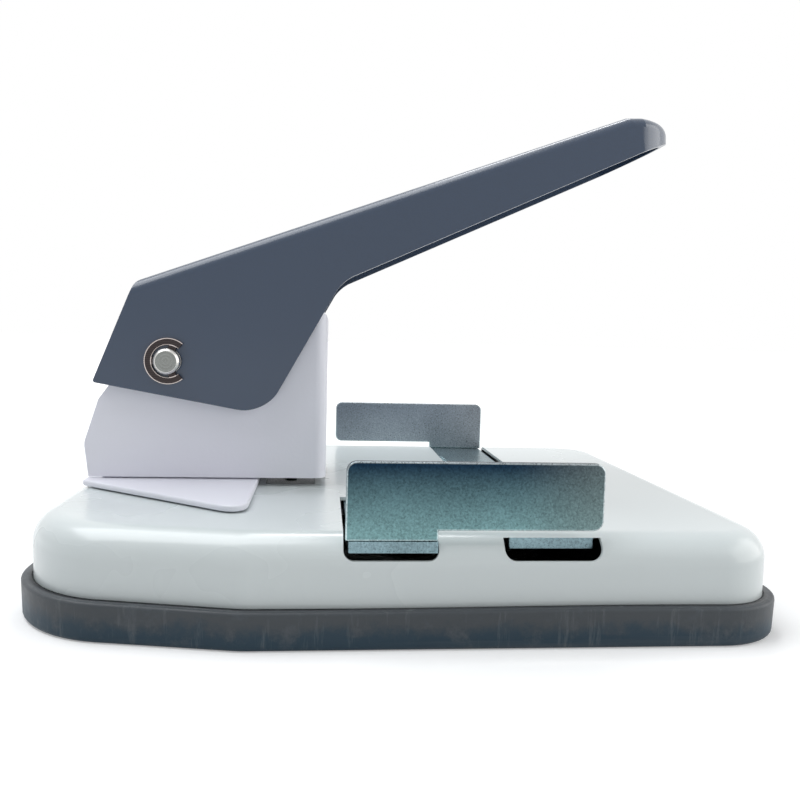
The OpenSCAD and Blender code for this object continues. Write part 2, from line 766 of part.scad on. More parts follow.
module tray_post(radius, out) {
    r = radius + tray_gap + (out ? tray_wall : 0);
    foot = 0.6;
    lip = 0.6;
    rotate_extrude($fn = 32) polygon(out
        ? [[0, 0], [r - tray_draft - foot, 0], [r - tray_draft, foot], [r, tray_h - lip],
           [r - lip, tray_h], [0, tray_h]]
        : [[0, tray_floor], [r, tray_floor], [r, tray_h + 1], [0, tray_h + 1]]);
}

// Soft tray that clips on from below and catches the chips
module chip_tray() {
    color("darkslategray") difference() {
        hull() for (p = posts) translate(flat(p)) tray_post(p.z, true);
        hull() for (p = posts) translate(flat(p)) tray_post(p.z, false);
    }
}

base_shell();
backing_plate();
die_insert();
die_screws();
punch_frame();
frame_screws();
head_cover();
guide_block();
block_pins();
spring_plate();
pivot_pin();
pin_clips();
rack_keeper();
keeper_studs();
keeper_nuts();
pinion_stud();
lever();
pusher_block();
punch_blade();
blade_cap();
return_spring();
near_guide();
near_rack();
far_guide();
far_rack();
pinion();
chip_tray();
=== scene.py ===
import math

import bmesh
import bpy
from mathutils import Matrix, Vector


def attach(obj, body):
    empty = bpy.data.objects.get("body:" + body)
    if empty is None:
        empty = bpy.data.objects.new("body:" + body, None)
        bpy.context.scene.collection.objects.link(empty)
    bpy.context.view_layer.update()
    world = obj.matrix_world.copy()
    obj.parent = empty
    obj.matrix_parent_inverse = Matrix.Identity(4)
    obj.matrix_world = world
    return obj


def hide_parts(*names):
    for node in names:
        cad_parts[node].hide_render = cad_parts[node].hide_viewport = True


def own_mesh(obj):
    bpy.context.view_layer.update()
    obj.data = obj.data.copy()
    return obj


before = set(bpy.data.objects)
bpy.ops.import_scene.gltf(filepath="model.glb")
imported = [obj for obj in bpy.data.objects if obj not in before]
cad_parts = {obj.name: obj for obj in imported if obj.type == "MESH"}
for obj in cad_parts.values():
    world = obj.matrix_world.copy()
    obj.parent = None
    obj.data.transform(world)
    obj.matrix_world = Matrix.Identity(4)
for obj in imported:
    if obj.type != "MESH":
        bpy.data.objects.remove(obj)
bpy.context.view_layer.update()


# ---- Pressed body ----
# The low box that everything stands on: one sheet of 0.8 mm steel, drawn with a soft
# shoulder all round, slotted for the guides' legs and windowed for the rack arms, and
# stove-enamelled in a cool glossy white.

BED_Z = 21.3
BODY_LOW = 1.7
SHEET = 0.8
SHOULDER = 6.0
MERGE = 0.001
BODY_CORNERS = [(76.5, -63, 13), (76.5, 63, 13), (-31.22, 63, 13),
                (-76.5, 54.43, 22), (-76.5, -54.43, 22), (-31.22, -63, 13)]
GUIDE_X = 13.0


def rounded_face(bm, corners, place, segments=8):
    """One flat face from corners (a, b, radius), each rounded by its own radius."""
    points = [Vector(place(a, b)) for a, b, r in corners]
    verts = [bm.verts.new(p) for p in points]
    bm.faces.new(verts)
    for i, (a, b, r) in enumerate(corners):
        if r <= 0:
            continue
        before = points[i - 1] - points[i]
        after = points[(i + 1) % len(points)] - points[i]
        reach = r / math.tan(before.angle(after) / 2)
        bmesh.ops.bevel(bm, geom=[verts[i]], offset=reach, offset_type="OFFSET",
                        segments=segments, profile=0.5, affect="VERTICES", material=-1)
    bmesh.ops.remove_doubles(bm, verts=bm.verts, dist=MERGE)
    bm.faces.ensure_lookup_table()
    return bm.faces[0]


def thicken(bm, face, along):
    """Draws a face out into a closed solid."""
    made = bmesh.ops.extrude_face_region(bm, geom=[face])
    moved = [g for g in made["geom"] if isinstance(g, bmesh.types.BMVert)]
    bmesh.ops.translate(bm, vec=along, verts=moved)
    bmesh.ops.recalc_face_normals(bm, faces=bm.faces)


def draw_wall(bm, edges, along):
    """Draws edges out into a wall, and gives the points of its new edge."""
    made = bmesh.ops.extrude_edge_only(bm, edges=edges)
    moved = [g for g in made["geom"] if isinstance(g, bmesh.types.BMVert)]
    bmesh.ops.translate(bm, vec=along, verts=moved)
    return moved


def round_edges(bm, edges, radius, segments):
    """Rounds edges over by a radius."""
    bmesh.ops.bevel(bm, geom=edges, offset=radius, offset_type="OFFSET", segments=segments,
                    profile=0.5, affect="EDGES", material=-1)


def to_object(name, bm):
    """Puts a mesh drawn in millimetres into the scene, in metres."""
    bmesh.ops.scale(bm, vec=(0.001, 0.001, 0.001), verts=bm.verts)
    mesh = bpy.data.meshes.new(name)
    bm.to_mesh(mesh)
    bm.free()
    piece = bpy.data.objects.new(name, mesh)
    bpy.context.collection.objects.link(piece)
    return piece


def bake(piece):
    """Applies a piece's modifiers to its mesh."""
    shown = piece.evaluated_get(bpy.context.evaluated_depsgraph_get())
    mesh = bpy.data.meshes.new_from_object(shown)
    piece.modifiers.clear()
    old, piece.data = piece.data, mesh
    bpy.data.meshes.remove(old)
    mesh.name = piece.name


def cut(piece, cutter, operation="DIFFERENCE"):
    """Cuts a piece with a closed solid, which is then thrown away."""
    step = piece.modifiers.new("cut", "BOOLEAN")
    step.object = cutter
    step.operation = operation
    step.solver = "EXACT"
    bake(piece)
    bpy.data.objects.remove(cutter)


def wall(piece, thickness):
    """Gives a skin its sheet thickness, inwards."""
    step = piece.modifiers.new("sheet", "SOLIDIFY")
    step.thickness = thickness / 1000
    step.offset = -1
    step.use_even_offset = True
    bake(piece)


def soften(piece, radius, segments=2, angle=50, edge_slot=-1):
    """Rounds a piece's sharp edges a little and shades it smooth between them."""
    for face in piece.data.polygons:
        face.use_smooth = True
    step = piece.modifiers.new("soft edges", "BEVEL")
    step.width = radius / 1000
    step.segments = segments
    step.limit_method = "ANGLE"
    step.angle_limit = math.radians(angle)
    step.use_clamp_overlap = True
    step.material = edge_slot
    shade = piece.modifiers.new("shading", "WEIGHTED_NORMAL")
    shade.keep_sharp = True
    shade.weight = 80


def dress(piece, body, slot, materials, *nodes):
    """Gives a piece its materials, the body it rides on and the CAD nodes it stands for."""
    piece.data.materials.clear()
    for material in materials:
        piece.data.materials.append(material)
    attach(piece, body)
    if nodes:
        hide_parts(*nodes)
    return piece


def add(tree, kind, settings=None, **inputs):
    """A shader node with its settings, and its inputs by name or by number as _0, _1."""
    made = tree.nodes.new(kind)
    for key, value in (settings or {}).items():
        setattr(made, key, value)
    for key, value in inputs.items():
        socket = made.inputs[int(key[1:]) if key[0] == "_" else key.replace("_", " ")]
        if isinstance(value, bpy.types.NodeSocket):
            tree.links.new(value, socket)
        else:
            socket.default_value = value
    return made


def math_node(tree, operation, a, b=0.0):
    """The result of one sum."""
    return add(tree, "ShaderNodeMath", {"operation": operation}, _0=a, _1=b).outputs[0]


def blend_colour(tree, share, a, b):
    """The colour between a and b that a share gives."""
    made = add(tree, "ShaderNodeMix", {"data_type": "RGBA"}, _0=share, _6=a, _7=b)
    return made.outputs[2]


def spread(tree, value, low, high, at_low=0.0, at_high=1.0):
    """Lays a value's range from low to high onto another range."""
    return add(tree, "ShaderNodeMapRange", Value=value, _1=low, _2=high, _3=at_low,
               _4=at_high).outputs[0]


def new_group(name, inputs, outputs):
    """An empty shader node group: Place is a vector, and every other socket a float."""
    tree = bpy.data.node_groups.new(name, "ShaderNodeTree")
    for label, default in inputs.items():
        kind = "NodeSocketVector" if label == "Place" else "NodeSocketFloat"
        socket = tree.interface.new_socket(label, in_out="INPUT", socket_type=kind)
        if label != "Place":
            socket.default_value = default
    for label in outputs:
        tree.interface.new_socket(label, in_out="OUTPUT", socket_type="NodeSocketFloat")
    given = tree.nodes.new("NodeGroupInput").outputs
    return tree, given, tree.nodes.new("NodeGroupOutput").inputs


def place_group(tree, group, **inputs):
    """Places a node group in a material, with its own values."""
    return add(tree, "ShaderNodeGroup", {"node_tree": group}, **inputs).outputs


# Sprayed finish: the fine orange peel of baked paint, and broad faint clouds in its shine.
peel_tree, given, result = new_group("orange peel", {"Place": None, "Grain": 900.0, "Cloud": 22.0},
                                     ["Height", "Clouds"])
fine = add(peel_tree, "ShaderNodeTexNoise", Vector=given["Place"], Scale=given["Grain"],
           Detail=2.0)
broad = add(peel_tree, "ShaderNodeTexNoise", Vector=given["Place"], Scale=given["Cloud"],
            Detail=3.0)
peel_tree.links.new(fine.outputs[0], result["Height"])
peel_tree.links.new(broad.outputs[0], result["Clouds"])

# Specks: small dark dust nibs, thinly scattered, none alike.
speck_tree, given, result = new_group("dust specks", {"Place": None, "Spread": 90.0, "Share": 0.06,
                                                      "Size": 0.03}, ["Mask"])
cells = add(speck_tree, "ShaderNodeTexVoronoi", Vector=given["Place"], Scale=given["Spread"])
pick = add(speck_tree, "ShaderNodeSeparateColor", Color=cells.outputs["Color"])
chosen = math_node(speck_tree, "LESS_THAN", pick.outputs[0], given["Share"])
size = math_node(speck_tree, "MULTIPLY", pick.outputs[1], given["Size"])
near = math_node(speck_tree, "LESS_THAN", cells.outputs["Distance"], size)
speck_tree.links.new(math_node(speck_tree, "MULTIPLY", chosen, near), result["Mask"])


def new_material(name):
    """A material with its nodes, its shader and the piece's own coordinates."""
    material = bpy.data.materials.new(name)
    material.use_nodes = True
    tree = material.node_tree
    place = tree.nodes.new("ShaderNodeTexCoord").outputs["Object"]
    return material, tree, tree.nodes["Principled BSDF"], place


def relief(tree, shader, height, strength, distance):
    """Gives the surface the fine relief of its grain."""
    bump = add(tree, "ShaderNodeBump", Height=height, Strength=strength, Distance=distance)
    tree.links.new(bump.outputs[0], shader.inputs["Normal"])


CLOUD_TONE = 0.96
GRAIN_RISE = 0.0002


def paint(name, colour, rough, grain, depth, coat, specks=0.0,
          speck_colour=(0.12, 0.10, 0.08, 1)):
    """Baked paint: a colour with faint clouds, orange peel, a clear skin and a few specks."""
    material, tree, shader, place = new_material(name)
    peel = place_group(tree, peel_tree, Place=place, Grain=grain)
    clouded = tuple(c * CLOUD_TONE for c in colour) + (1,)
    tone = blend_colour(tree, peel["Clouds"], clouded, colour + (1,))
    if specks:
        mask = place_group(tree, speck_tree, Place=place, Share=specks)["Mask"]
        tone = blend_colour(tree, mask, tone, speck_colour)
    tree.links.new(tone, shader.inputs["Base Color"])
    shine = spread(tree, peel["Clouds"], 0.0, 1.0, rough * 0.8, rough * 1.2)
    tree.links.new(shine, shader.inputs["Roughness"])
    relief(tree, shader, peel["Height"], depth, GRAIN_RISE)
    shader.inputs["Coat Weight"].default_value = coat
    shader.inputs["Coat Roughness"].default_value = 0.12
    return material


ENAMEL = paint("white enamel", (0.71, 0.765, 0.765), 0.28, 700.0, 0.08, 0.35, specks=0.05)

bm = bmesh.new()
rim = rounded_face(bm, BODY_CORNERS, lambda x, y: (x, y, BED_Z), 16).edges[:]
draw_wall(bm, rim, (0, 0, BODY_LOW - BED_Z))
bmesh.ops.recalc_face_normals(bm, faces=bm.faces)
round_edges(bm, rim, SHOULDER, 12)
bmesh.ops.remove_doubles(bm, verts=bm.verts, dist=MERGE)
body = to_object("body_shell", bm)
wall(body, SHEET)


def prism(corners, place, along, segments=8):
    """A closed solid: an outline drawn out along one direction."""
    bm = bmesh.new()
    thicken(bm, rounded_face(bm, corners, place, segments), along)
    return to_object("cutter", bm)


def half_turn(piece):
    """Turns a solid half a turn about the middle of the guides."""
    across = Matrix.Translation((2 * GUIDE_X / 1000, 0, 0))
    piece.data.transform(across @ Matrix.Rotation(math.pi, 4, "Z"))
    return piece


OUTSIDE = 70
LEG_NOTCH = [(-12.3, 16.55, 2), (6.0, 16.55, 2), (6.0, 30, 0), (-12.3, 30, 0)]
NOTCH_END = 26.6
ARM_WINDOW = [(18.8, 16.45, 2.5), (38.3, 16.45, 2.5), (38.3, 20.5, 0), (18.8, 20.5, 0)]
WINDOW_END = 54
DIE_OPENING = [(-30.5, -11.1, 0), (-18.3, -11.1, 0), (-18.3, 11.1, 0), (-30.5, 11.1, 0)]
OPENING_LOW, OPENING_DEEP = 15, 10
for far in (False, True):
    for outline, end in ((LEG_NOTCH, NOTCH_END), (ARM_WINDOW, WINDOW_END)):
        cutter = prism(outline, lambda x, z: (x, -OUTSIDE, z), (0, OUTSIDE - end, 0))
        cut(body, half_turn(cutter) if far else cutter)
cut(body, prism(DIE_OPENING, lambda x, y: (x, y, OPENING_LOW), (0, 0, OPENING_DEEP)))
soften(body, 0.25)
dress(body, "base", "body_white", [ENAMEL], "base_shell")


# ---- Under the bed ----
# A zinc-plated stiffening plate and a folded keeper, with studs and nuts: plain sheet and
# turned parts, seen only through the notches or with the tray off.

# Zinc plating: a fine frosted grain, clouds where the bath ran, and its slight relief.
frost_tree, given, result = new_group("zinc frost", {"Place": None, "Grain": 2300.0, "Cloud": 70.0},
                                      ["Tone", "Height"])
grain = add(frost_tree, "ShaderNodeTexNoise", Vector=given["Place"], Scale=given["Grain"],
            Detail=2.0, Distortion=0.6)
cloud = add(frost_tree, "ShaderNodeTexNoise", Vector=given["Place"], Scale=given["Cloud"],
            Detail=3.0)
mixed = math_node(frost_tree, "ADD", math_node(frost_tree, "MULTIPLY", grain.outputs[0], 0.7),
                  math_node(frost_tree, "MULTIPLY", cloud.outputs[0], 0.3))
frost_tree.links.new(mixed, result["Tone"])
frost_tree.links.new(grain.outputs[0], result["Height"])


def between(tree, value, low, high):
    """Runs softly from 0 to 1 while a value goes from low to high."""
    return add(tree, "ShaderNodeMapRange", {"interpolation_type": "SMOOTHSTEP"}, Value=value,
               _1=low, _2=high).outputs[0]


END_FROM, END_TO, END_SHARE = 0.018, 0.040, 0.6


def zinc(name, low, high, end, rough, depth, span=(0.0215, 0.0365)):
    """Bright zinc plating, a painted reflection running from its low edge to its high one, changing
    towards one end.
    """
    material, tree, shader, place = new_material(name)
    frost = place_group(tree, frost_tree, Place=place)
    along = add(tree, "ShaderNodeSeparateXYZ", _0=place).outputs
    tone = blend_colour(tree, spread(tree, along["Z"], *span), low + (1,), high + (1,))
    at_end = math_node(tree, "MULTIPLY", between(tree, along["X"], END_FROM, END_TO), END_SHARE)
    tone = blend_colour(tree, at_end, tone, end + (1,))
    shade = spread(tree, frost["Tone"], 0.36, 0.64, 0.72, 1.28)
    tone = add(tree, "ShaderNodeVectorMath", {"operation": "SCALE"}, _0=tone, Scale=shade)
    tree.links.new(tone.outputs[0], shader.inputs["Base Color"])
    shine = spread(tree, frost["Height"], 0.3, 0.7, rough * 0.8, rough * 1.2)
    tree.links.new(shine, shader.inputs["Roughness"])
    relief(tree, shader, frost["Height"], depth, GRAIN_RISE)
    shader.inputs["Metallic"].default_value = 1.0
    return material


MARK_RISE = 0.0001


def steel(name, colour, rough, marks, direction="Z", centre=(0, 0, 0), turned=None, depth=0.15):
    """Machined steel: fine tool marks across one direction, or turned round an axis."""
    material, tree, shader, place = new_material(name)
    if turned:
        moved = add(tree, "ShaderNodeVectorMath", {"operation": "SUBTRACT"}, _0=place, _1=centre)
        wave = add(tree, "ShaderNodeTexWave", {"wave_type": "RINGS", "rings_direction": turned},
                   Vector=moved.outputs[0], Scale=marks, Distortion=0.6, Detail=2.0)
    else:
        wave = add(tree, "ShaderNodeTexWave", {"wave_type": "BANDS", "bands_direction": direction},
                   Vector=place, Scale=marks, Distortion=3.0, Detail=3.0)
    grain = add(tree, "ShaderNodeTexNoise", Vector=place, Scale=1500.0, Detail=2.0)
    darker = tuple(c * 0.82 for c in colour) + (1,)
    tone = blend_colour(tree, grain.outputs[0], darker, colour + (1,))
    tree.links.new(tone, shader.inputs["Base Color"])
    shine = spread(tree, wave.outputs[1], 0.0, 1.0, rough * 0.85, rough * 1.2)
    tree.links.new(shine, shader.inputs["Roughness"])
    relief(tree, shader, wave.outputs[1], depth, MARK_RISE)
    shader.inputs["Metallic"].default_value = 1.0
    return material


def finish_node(node, material, radius=0.15):
    """Gives a CAD node its material and a small edge radius, its own mesh left as it is."""
    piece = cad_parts[node]
    for mark in range(len(piece.material_slots)):
        piece.material_slots[mark].material = material
    if not piece.material_slots:
        piece.data.materials.append(material)
    weld = piece.modifiers.new("weld", "WELD")
    weld.merge_threshold = 0.000002
    step = piece.modifiers.new("soft edges", "BEVEL")
    step.width = radius / 1000
    step.segments = 2
    step.limit_method = "ANGLE"
    step.angle_limit = math.radians(35)
    shade = piece.modifiers.new("shading", "WEIGHTED_NORMAL")
    shade.keep_sharp = True


ZINC_IN = zinc("zinc plate inside", (0.42, 0.45, 0.47), (0.46, 0.49, 0.51), (0.44, 0.47, 0.49),
               0.35, 0.15)
BRIGHT = steel("bright steel", (0.62, 0.62, 0.61), 0.28, 900.0)
BLACKED_AND_SHADE = steel("blackened steel and painted shade", (0.07, 0.07, 0.075), 0.30, 900.0)
finish_node("backing_plate", ZINC_IN)
finish_node("rack_keeper", ZINC_IN)
finish_node("keeper_studs", BRIGHT, 0.12)
finish_node("keeper_nuts", BRIGHT, 0.2)


# ---- Die ----
# The hardened lower half of the tool: a ground block, flush with the bed, with the slot
# that the blade enters, held up from below by two cap screws.

GROUND = steel("ground tool steel", (0.36, 0.36, 0.37), 0.26, 1400.0, direction="X")
finish_node("die_insert", GROUND, 0.06)
finish_node("die_screws", BLACKED_AND_SHADE)


# ---- Racks and pinion ----
# Two long arms of zinc-plated strip with teeth cut along one edge, on both sides of a
# brass pinion, so that the two guides close and open together.

ZINC_ARM = zinc("zinc plate arms", (0.16, 0.24, 0.27), (0.20, 0.29, 0.32), (0.17, 0.24, 0.27),
                0.30, 0.25, span=(0.0155, 0.0205))
BRASS = steel("cut brass", (0.62, 0.43, 0.16), 0.3, 900.0)
finish_node("near_rack", ZINC_ARM, 0.25)
finish_node("far_rack", ZINC_ARM, 0.25)
finish_node("pinion", BRASS, 0.06)
finish_node("pinion_stud", BRIGHT, 0.2)


# ---- Card guides ----
# Upright plates of zinc-plated sheet that centre the card: each is blanked with one leg,
# its edges rounded over by the blanking, and riveted into the end of its rack arm.

GUIDE_OUTLINE = [(-25, 20.4, 0.3), (-7.3, 20.4, 0.3), (-7.3, 22.4, 0), (25, 22.4, 2.0),
                 (25, 35.6, 2.0), (-25, 35.6, 2.0)]
GUIDE_Y, GUIDE_SHEET = -62.5, 1.6
# The guides' zinc runs from a pale foot to a darker top, blue-black on the near guide: a painted
# reflection of dark surroundings above and a bright table below.
ZINC_NEAR_REFLECTION = zinc("zinc plate near guide", (0.16, 0.285, 0.295), (0.010, 0.027, 0.050),
                 (0.13, 0.16, 0.155), 0.33, 0.6, span=(0.0215, 0.0348))
ZINC_FAR_REFLECTION = zinc("zinc plate far guide", (0.28, 0.33, 0.37), (0.19, 0.225, 0.27),
                (0.22, 0.24, 0.26), 0.33, 0.3)
# The rounded edges take a paler zinc: a painted highlight where they catch the light.
ZINC_EDGE_HIGHLIGHT = zinc("zinc plate edge highlights", (0.46, 0.58, 0.59), (0.25, 0.28, 0.30), (0.34, 0.38, 0.39),
                 0.30, 0.1)
for side, skin in (("near", ZINC_NEAR_REFLECTION), ("far", ZINC_FAR_REFLECTION)):
    bm = bmesh.new()
    face = rounded_face(bm, GUIDE_OUTLINE, lambda x, z: (GUIDE_X + x, GUIDE_Y, z))
    thicken(bm, face, (0, GUIDE_SHEET, 0))
    plate = to_object(side + "_guide_plate", bm)
    if side == "far":
        half_turn(plate)
    soften(plate, 0.42, 3, edge_slot=1)
    dress(plate, side + "_slider", "zinc_plate", [skin, ZINC_EDGE_HIGHLIGHT], side + "_guide")


# ---- Frame ----
# A plate with two ears, folded up into two cheeks inside the head. The ears brace the
# head on the bed, and the plate's straight front edge stops the card. Powder-coated white.

HEAD_PAINT = paint("head powder coat", (0.85, 0.85, 0.92), 0.42, 1100.0, 0.12, 0.15, specks=0.02)
EAR_LOW, EAR_TOP = 21.6, 23.0
EARS = [(-32.0, -47.5, 4), (-32.0, 47.5, 4), (-73.0, 17, 1.5), (-73.0, -17, 1.5)]
CHEEK = [(-32.0, 22.9, 0), (-32.0, 24.6, 0), (-18.8, 24.6, 0), (-18.8, 61.2, 3), (-27.6, 61.7, 5),
         (-58.5, 56.7, 6), (-65.0, 43.3, 3), (-69.5, 31.3, 3), (-69.5, 22.9, 0)]
CHEEK_SHEET, NEAR_CHEEK_Y, FAR_CHEEK_Y = 1.5, -13.2, 11.7
bm = bmesh.new()
face = rounded_face(bm, EARS, lambda x, y: (x, y, EAR_LOW), 10)
thicken(bm, face, (0, 0, EAR_TOP - EAR_LOW))
ears = to_object("frame_ears", bm)
soften(ears, 0.5, 4)
dress(ears, "base", "head_white", [HEAD_PAINT], "punch_frame")
for side, cheek_y in (("near", NEAR_CHEEK_Y), ("far", FAR_CHEEK_Y)):
    bm = bmesh.new()
    face = rounded_face(bm, CHEEK, lambda x, z: (x, cheek_y, z))
    thicken(bm, face, (0, CHEEK_SHEET, 0))
    cheek = to_object("frame_cheek_" + side, bm)
    soften(cheek, 0.3)
    dress(cheek, "base", "head_white", [HEAD_PAINT])
finish_node("frame_screws", BRIGHT, 0.12)


# ---- Head cover ----
# One sheet of 1.2 mm steel folded round the front of the head, open at the rear and the
# top, powder-coated in the same cool white as the frame.

COVER_FRONT, COVER_REAR, COVER_HALF, COVER_BEND = -15.6, -90, 14.5, 3
COVER_SHEET = 1.2
COVER_SIDE = [(COVER_FRONT, 23.4, 0), (COVER_FRONT, 65.2, 3.5), (-26.6, 65.2, 6), (-60.0, 60.2, 6),
              (-67.5, 45.4, 0.8), (-69.9, 42.1, 0.8), (-73.3, 31.5, 4), (-72.3, 23.4, 0)]
COVER_PLAN = [(COVER_FRONT, -COVER_HALF, COVER_BEND), (COVER_FRONT, COVER_HALF, COVER_BEND),
              (COVER_REAR, COVER_HALF, 0), (COVER_REAR, -COVER_HALF, 0)]
bm = bmesh.new()
rounded_face(bm, COVER_PLAN, lambda x, y: (x, y, 20), 10)
folded = [e for e in bm.edges if not all(v.co.x < COVER_REAR + 10 for v in e.verts)]
draw_wall(bm, folded, (0, 0, 50))
level = [f for f in bm.faces if abs(f.normal.z) > 0.5]
bmesh.ops.delete(bm, geom=level, context="FACES_ONLY")
bmesh.ops.recalc_face_normals(bm, faces=bm.faces)
outward = next(f for f in bm.faces if abs(f.normal.y) > 0.9)
if outward.normal.y * outward.calc_center_median().y < 0:
    bmesh.ops.reverse_faces(bm, faces=bm.faces)
bmesh.ops.delete(bm, geom=[e for e in bm.edges if not e.link_faces], context="EDGES")
cover = to_object("head_cover_sheet", bm)
wall(cover, COVER_SHEET)
cut(cover, prism(COVER_SIDE, lambda x, z: (x, -20, z), (0, 40, 0), 10), "INTERSECT")
soften(cover, 0.25)
dress(cover, "base", "head_white", [HEAD_PAINT], "head_cover")


# ---- Punch ----
# Inside the head: a guide block on two cross pins, the ground blade, its steel cap, and
# a coil spring that lifts blade and lever after each stroke.

# The guide block takes blackened steel so that the gap under the head shows dark: painted shade in
# the throat.
for node, material, radius in (("guide_block", BLACKED_AND_SHADE, 0.3), ("block_pins", BRIGHT, 0.1),
                               ("spring_plate", BRIGHT, 0.15), ("punch_blade", GROUND, 0.04),
                               ("blade_cap", BLACKED_AND_SHADE, 0.15)):
    finish_node(node, material, radius)

SLOT_X = -24.4
SPRING_LOW, SPRING_TOP, SPRING_R = 40.1, 51.7, 5.4
WIRE, TURNS, TURN_STEPS = 1.0, 4, 40
bm = bmesh.new()
wire_end = Matrix.Translation((SLOT_X + SPRING_R, 0, SPRING_LOW + WIRE / 2))
bmesh.ops.create_circle(bm, cap_ends=False, radius=WIRE / 2, segments=12,
                        matrix=wire_end @ Matrix.Rotation(math.pi / 2, 4, "X"))
steps = TURN_STEPS * TURNS
climb = (SPRING_TOP - SPRING_LOW - WIRE) / steps
bmesh.ops.spin(bm, geom=bm.verts[:] + bm.edges[:], cent=(SLOT_X, 0, 0), axis=(0, 0, 1),
               dvec=(0, 0, climb), angle=2 * math.pi * TURNS, steps=steps, use_merge=False)
bmesh.ops.holes_fill(bm, edges=[e for e in bm.edges if e.is_boundary], sides=0)
bmesh.ops.recalc_face_normals(bm, faces=bm.faces)
spring = to_object("punch_spring", bm)
for face in spring.data.polygons:
    face.use_smooth = True
dress(spring, "base", "steel", [BRIGHT], "return_spring")
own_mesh(spring)


# ---- Lever ----
# The long handle: 1.8 mm steel drawn into a channel with a round nose that is bent down a
# little, its cheeks widening into the ears that the pivot passes through. It is powder-coated
# slate grey.

PIVOT = Vector((-53.1, 0, 51.6))
PIVOT_HOLE = 3.05
SLOPE = math.radians(20.3)
LEVER_HALF, LEVER_SHEET, WEB, LEVER_EDGE = 17.1, 1.8, 20.3, 3.0
LEVER_REAR, LEVER_DEEP = -30, 50
BEND_U, NOSE_RUN, NOSE_MID, NOSE_R = 124.03, 4.2, -4.08, 19.0
NOSE_DROP = math.radians(17)
NOSE_BENDS = (0, 1.4, 2.8, NOSE_RUN)
LEVER_OUTLINE = [(-18.3, 1.1, 0.6), (-0.8, WEB, 3), (BEND_U + 24, WEB + 0.01, 0),
                 (BEND_U + 20, 18.14, 0), (BEND_U + NOSE_RUN, 11.91, 0), (BEND_U, 10.93, 0),
                 (45, 4.7, 9), (16.9, -19.5, 9)]

SLATE = paint("slate powder coat", (0.031, 0.055, 0.101), 0.30, 1300.0, 0.08, 0.35, specks=0.03,
              speck_colour=(0.35, 0.38, 0.40, 1))
bm = bmesh.new()
start = bm.verts.new((BEND_U + NOSE_RUN, -LEVER_HALF, WEB))
bmesh.ops.spin(bm, geom=[start], cent=(BEND_U + NOSE_MID, 0, WEB), axis=(0, 0, 1), dvec=(0, 0, 0),
               angle=2 * math.asin(LEVER_HALF / NOSE_R), steps=40, use_merge=False)
bm.verts.ensure_lookup_table()
near_end = min(bm.verts, key=lambda v: v.co.y)
far_end = max(bm.verts, key=lambda v: v.co.y)
near_rear = bm.verts.new((LEVER_REAR, -LEVER_HALF, WEB))
far_rear = bm.verts.new((LEVER_REAR, LEVER_HALF, WEB))
for pair in ((near_end, near_rear), (near_rear, far_rear), (far_rear, far_end)):
    bm.edges.new(pair)
bmesh.ops.contextual_create(bm, geom=bm.edges[:])
bm.faces.ensure_lookup_table()
web = bm.faces[0]
if web.normal.z < 0:
    web.normal_flip()
rim = [e for e in web.edges if not all(v.co.x < LEVER_REAR + 1 for v in e.verts)]
draw_wall(bm, rim, (0, 0, -LEVER_DEEP))
bmesh.ops.recalc_face_normals(bm, faces=bm.faces)
if web.normal.z < 0:
    bmesh.ops.reverse_faces(bm, faces=bm.faces)
round_edges(bm, rim, LEVER_EDGE, 8)
bmesh.ops.remove_doubles(bm, verts=bm.verts, dist=MERGE)
lever = to_object("lever_channel", bm)
wall(lever, LEVER_SHEET)
cut(lever, prism(LEVER_OUTLINE, lambda u, v: (u, -25, v), (0, 50, 0), 12), "INTERSECT")

# The nose is bent down over a few millimetres, square to the channel.
bm = bmesh.new()
bm.from_mesh(lever.data)
bmesh.ops.scale(bm, vec=(1000, 1000, 1000), verts=bm.verts)
for along in NOSE_BENDS:
    bmesh.ops.bisect_plane(bm, geom=bm.verts[:] + bm.edges[:] + bm.faces[:], dist=0.0001,
                           plane_co=(BEND_U + along, 0, 0), plane_no=(1, 0, 0))
for vert in bm.verts:
    past = vert.co.x - BEND_U
    if past > 0:
        bent = min(1, past / NOSE_RUN)
        depth = WEB - vert.co.z
        fallen = past * math.sin(NOSE_DROP) + depth * (1 - bent * (1 - math.cos(NOSE_DROP)))
        vert.co.x = BEND_U + past * math.cos(NOSE_DROP) - bent * depth * math.sin(NOSE_DROP)
        vert.co.z = WEB - fallen
bpy.data.objects.remove(lever)
lever = to_object("lever_channel", bm)
bm = bmesh.new()
bmesh.ops.create_cone(bm, cap_ends=True, segments=48, radius1=PIVOT_HOLE, radius2=PIVOT_HOLE,
                      depth=60, matrix=Matrix.Rotation(math.pi / 2, 4, "X"))
cut(lever, to_object("cutter", bm))

# So far it lies along its web: now it is laid on its slope at rest.
lever.data.transform(Matrix.Translation(PIVOT / 1000) @ Matrix.Rotation(-SLOPE, 4, "Y"))
soften(lever, 0.4, 3)
dress(lever, "lever_arm", "lever_blue", [SLATE], "lever")

NYLON = paint("black nylon", (0.012, 0.012, 0.013), 0.5, 900.0, 0.2, 0.0)
finish_node("pusher_block", NYLON, 0.4)


# ---- Pivot ----
# A turned steel pin with bevelled ends, and a snap ring of blued spring steel in a groove
# at each end, its open side towards the nose.

PIN_HIGHLIGHT_RIMS = [(2.45, 3.2)]
CLIP_HIGHLIGHT_RIMS = [(5.25, 6.0), (3.78, 3.98)]

